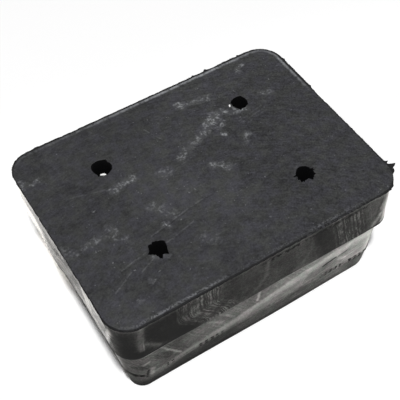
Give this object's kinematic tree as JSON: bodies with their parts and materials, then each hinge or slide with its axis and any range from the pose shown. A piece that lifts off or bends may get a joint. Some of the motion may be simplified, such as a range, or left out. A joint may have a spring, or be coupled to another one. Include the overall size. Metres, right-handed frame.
{
  "type": "rubber buffer",
  "caption": "Moulded rubber buffer block with a stepped, drafted side wall, thin mould flash and through-holes for screws.",
  "frame": {"origin": "centre of the underside, the plane that the block stands on", "axes": "+X along the length, +Y along the width, +Z from the underside to the wider top face"},
  "size_m": [0.1, 0.0738, 0.04],
  "materials": {
    "rubber": "satin"
  },
  "bodies": {
    "root": {"buffer_block": "rubber"}
  },
  "joints": []
}
